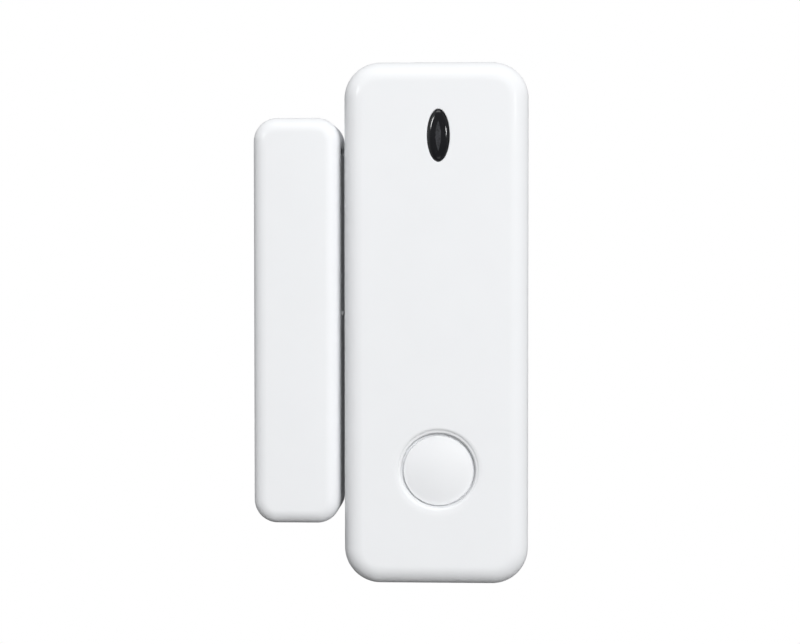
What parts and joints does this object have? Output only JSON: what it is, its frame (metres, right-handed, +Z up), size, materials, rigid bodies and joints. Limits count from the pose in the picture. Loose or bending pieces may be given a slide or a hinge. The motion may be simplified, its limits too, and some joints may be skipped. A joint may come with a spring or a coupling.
{
  "type": "door contact sensor",
  "caption": "Wireless door contact in white plastic: a slim transmitter with an indicator window and a push button, and a separate magnet unit that stands beside it.",
  "frame": {"origin": "centre of the transmitter's adhesive pad, on the wall face", "axes": "+Z up along the transmitter's length, -Y out of its front, +Y into the wall, +X to the right seen from the front; the magnet unit stands at -X"},
  "size_m": [0.0552, 0.0193, 0.104],
  "materials": {
    "case_plastic": "gloss",
    "base_plastic": "satin",
    "button_plastic": "satin",
    "smoked_lens": "gloss",
    "diffuser": "matt",
    "foam_pad": "matt",
    "board": "satin solder mask",
    "screw_steel": "zinc plated",
    "reed_glass": "clear",
    "lead_metal": "tinned",
    "black_plastic": "satin",
    "tinned_steel": "tinned",
    "spring_steel": "nickel plated",
    "led_epoxy": "clear tinted",
    "battery_metal": "nickel plated",
    "battery_sleeve": "printed-less film",
    "copper_wire": "enamelled",
    "capacitor_can": "sleeved",
    "chip_epoxy": "moulded",
    "resistor_body": "matt",
    "capacitor_ceramic": "matt",
    "magnet_ferrite": "ground"
  },
  "bodies": {
    "transmitter_base": {"base_plate": "base_plastic", "transmitter_adhesive_pad": "foam_pad", "circuit_board": "board", "circuit_board_screws": "screw_steel", "reed_glass": "reed_glass", "reed_leads": "lead_metal", "tact_switch_body": "black_plastic", "tact_switch_frame": "tinned_steel", "tamper_switch_body": "black_plastic", "tamper_spring": "spring_steel", "status_led": "led_epoxy", "status_led_leads": "lead_metal", "battery_can": "battery_metal", "battery_wrap": "battery_sleeve", "battery_contact_positive": "tinned_steel", "battery_contact_negative": "tinned_steel", "battery_spring": "spring_steel", "antenna_coil": "copper_wire", "resonator_can": "tinned_steel", "bulk_capacitor": "capacitor_can", "encoder_chip": "chip_epoxy", "encoder_chip_leads": "lead_metal", "chip_resistors": "resistor_body", "chip_capacitors": "capacitor_ceramic"},
    "front_cover": {"front_cover": "case_plastic", "indicator_lens": "smoked_lens", "lens_diffuser": "diffuser"},
    "push_button": {"push_button": "button_plastic"},
    "tact_plunger": {"tact_switch_plunger": "black_plastic"},
    "tamper_pin": {"tamper_pin": "button_plastic"},
    "magnet_base": {"magnet_base": "base_plastic", "bar_magnet": "magnet_ferrite", "magnet_adhesive_pad": "foam_pad"},
    "magnet_cover": {"magnet_cover": "case_plastic"}
  },
  "joints": [
    {"name": "cover_release", "type": "slide", "parent": "transmitter_base", "child": "front_cover", "axis": [0, -1, 0], "range_m": [0, 0.03]},
    {"name": "button_press", "type": "slide", "parent": "front_cover", "child": "push_button", "axis": [0, 1, 0], "range_m": [0, 0.0005], "stiffness_N_per_m": 1500, "springref_m": -0.0002},
    {"name": "plunger_press", "type": "slide", "parent": "transmitter_base", "child": "tact_plunger", "axis": [0, 1, 0], "range_m": [0, 0.0004]},
    {"name": "tamper_press", "type": "slide", "parent": "transmitter_base", "child": "tamper_pin", "axis": [0, -1, 0], "range_m": [0, 0.0012], "stiffness_N_per_m": 400, "springref_m": -0.0008, "deforming": ["tamper_spring"]},
    {"name": "magnet_travel", "type": "slide", "parent": "transmitter_base", "child": "magnet_base", "axis": [-1, 0, 0], "range_m": [0, 0.06]},
    {"name": "magnet_cover_release", "type": "slide", "parent": "magnet_base", "child": "magnet_cover", "axis": [0, -1, 0], "range_m": [0, 0.025]}
  ],
  "couplings": [
    {"joint": "plunger_press", "follows": "button_press", "ratio": 0.8}
  ]
}
